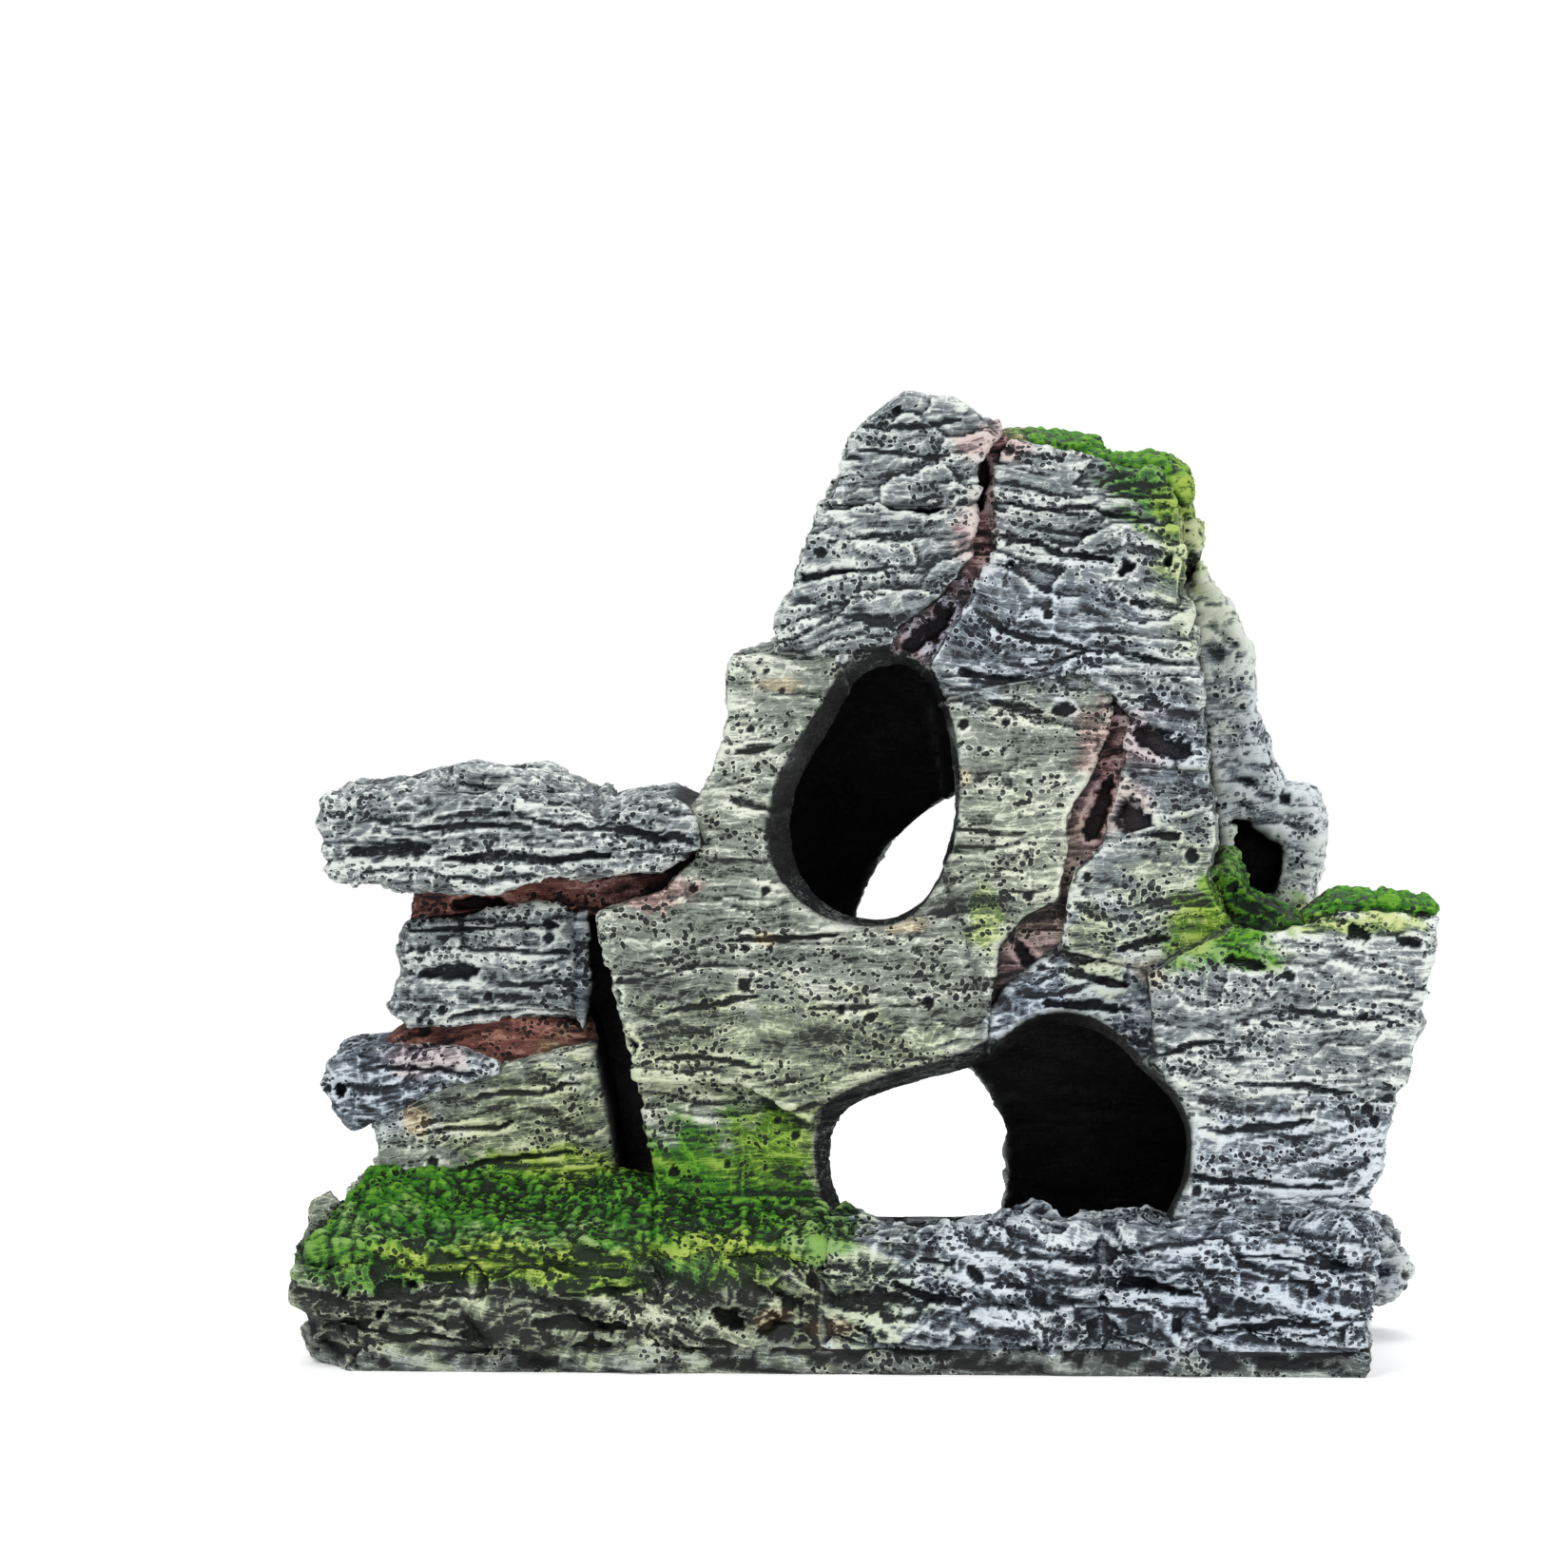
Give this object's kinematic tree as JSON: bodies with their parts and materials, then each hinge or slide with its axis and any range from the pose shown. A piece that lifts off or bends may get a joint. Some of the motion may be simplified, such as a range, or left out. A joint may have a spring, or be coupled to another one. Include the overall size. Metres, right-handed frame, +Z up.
{
  "type": "resin cave ornament",
  "caption": "Hollow painted resin rockery for an aquarium, with a slanted window, a wide tunnel, a stacked rock column, a buttress and moss.",
  "frame": {"origin": "middle of the overall box, on the surface that the base rests on", "axes": "+X to the right seen from the front, +Y to the back, +Z up"},
  "size_m": [0.134, 0.062, 0.115],
  "materials": {
    "grey_rock": "matt charcoal dry-brushed in off-white",
    "green_grey_rock": "matt charcoal dry-brushed in off-white with a green wash",
    "blue_grey_rock": "matt blue-grey dry-brushed in off-white",
    "red_rock": "matt red-brown, darker in the hollows",
    "brown_vein": "matt brown with a pink bloom",
    "dark_rock": "matt black outside light, charcoal at the edges",
    "moss": "matt green, brighter on the tips",
    "base_resin": "sanded flat grey resin"
  },
  "bodies": {
    "root": {"arch_stones": "blue_grey_rock", "base_plate": "base_resin", "cave_floor": "dark_rock", "centre_slab": "green_grey_rock", "cheek_slab": "green_grey_rock", "column_block": "grey_rock", "column_foot": "green_grey_rock", "crest_rock": "grey_rock", "crevice_splinter": "blue_grey_rock", "crevice_web": "dark_rock", "face_slab": "grey_rock", "heel_stone": "grey_rock", "kerb_boulders": "blue_grey_rock", "kerb_left": "green_grey_rock", "kerb_middle": "green_grey_rock", "kerb_right": "blue_grey_rock", "kerb_step": "green_grey_rock", "ledge_crown": "grey_rock", "ledge_slab": "grey_rock", "left_flank": "dark_rock", "left_shoulder": "dark_rock", "moss_bank": "moss", "moss_carpet": "moss", "moss_crest": "moss", "moss_ridge": "moss", "moss_saddle": "moss", "mossy_block_left": "green_grey_rock", "mossy_block_right": "green_grey_rock", "nose_rock": "blue_grey_rock", "rear_foot_left": "green_grey_rock", "rear_foot_right": "grey_rock", "rear_kerb_left": "grey_rock", "rear_kerb_right": "grey_rock", "rear_lintel": "grey_rock", "rear_saddle": "grey_rock", "rear_shoulder": "grey_rock", "rear_spire": "grey_rock", "rear_upper": "grey_rock", "rear_waist": "grey_rock", "red_seam_lower": "red_rock", "red_seam_upper": "red_rock", "right_buttress": "grey_rock", "right_flank_lower": "dark_rock", "right_flank_upper": "dark_rock", "shelf_rock": "green_grey_rock", "side_slab": "grey_rock", "side_step_mid": "grey_rock", "side_step_top": "grey_rock", "spire_block": "grey_rock", "spire_cap": "grey_rock", "spire_core": "dark_rock", "vein_lower": "brown_vein", "vein_upper": "brown_vein", "waist_slab": "green_grey_rock"}
  },
  "joints": []
}
